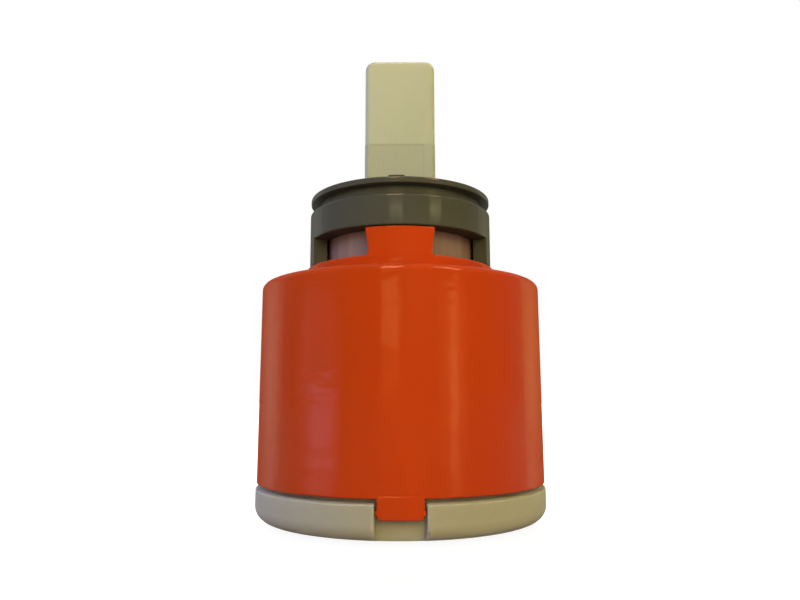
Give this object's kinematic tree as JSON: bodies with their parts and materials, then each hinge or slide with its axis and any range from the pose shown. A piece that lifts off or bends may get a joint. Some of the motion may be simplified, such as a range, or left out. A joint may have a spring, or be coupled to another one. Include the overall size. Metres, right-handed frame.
{
  "type": "faucet cartridge",
  "caption": "Ceramic-disc cartridge for a single-lever mixer tap: orange housing on an off-white base, splined turret with temperature stop collar, and a square lever stem.",
  "frame": {"origin": "on the cartridge's axis, in the plane of the port seals' lower faces", "axes": "+Z along the axis, from the ports to the lever; -Y towards the stop tab, the front tongue and the outlet port; +X towards the cold inlet"},
  "size_m": [0.04, 0.0398, 0.0659],
  "materials": {
    "orange_acetal": "glossy moulded orange plastic",
    "offwhite_acetal": "satin off-white plastic",
    "grey_acetal": "satin olive-grey plastic",
    "clear_nylon": "translucent natural nylon",
    "ivory_nylon": "slightly translucent ivory nylon",
    "alumina": "lapped white ceramic",
    "black_rubber": "matt black rubber",
    "stainless": "drawn stainless steel"
  },
  "bodies": {
    "cartridge_body": {"housing": "orange_acetal", "base": "offwhite_acetal", "port_seal_hot": "black_rubber", "port_seal_cold": "black_rubber", "port_seal_outlet": "black_rubber", "disc_seal_hot": "black_rubber", "disc_seal_cold": "black_rubber", "disc_seal_outlet": "black_rubber", "fixed_disc": "alumina", "slip_washer": "stainless"},
    "turret_body": {"turret": "clear_nylon", "temperature_collar": "grey_acetal", "neck_seal": "black_rubber", "lever_pin": "stainless"},
    "lever_body": {"lever": "ivory_nylon"},
    "carrier_body": {"disc_carrier": "grey_acetal", "sliding_disc": "alumina", "chamber_seal": "black_rubber"}
  },
  "joints": [
    {"name": "temperature_turn", "type": "hinge", "parent": "cartridge_body", "child": "turret_body", "pos_m": [0, 0, 0.0303], "axis": [0, 0, 1], "range_deg": [-46, 46]},
    {"name": "flow_tilt", "type": "hinge", "parent": "turret_body", "child": "lever_body", "pos_m": [0, 0, 0.0273], "axis": [1, 0, 0], "range_deg": [-12.5, 12.5]},
    {"name": "disc_slide", "type": "slide", "parent": "turret_body", "child": "carrier_body", "axis": [0, 1, 0], "range_m": [-0.00162, 0.00162]}
  ],
  "couplings": [
    {"joint": "disc_slide", "follows": "flow_tilt", "m_per_rad": 0.00735}
  ]
}
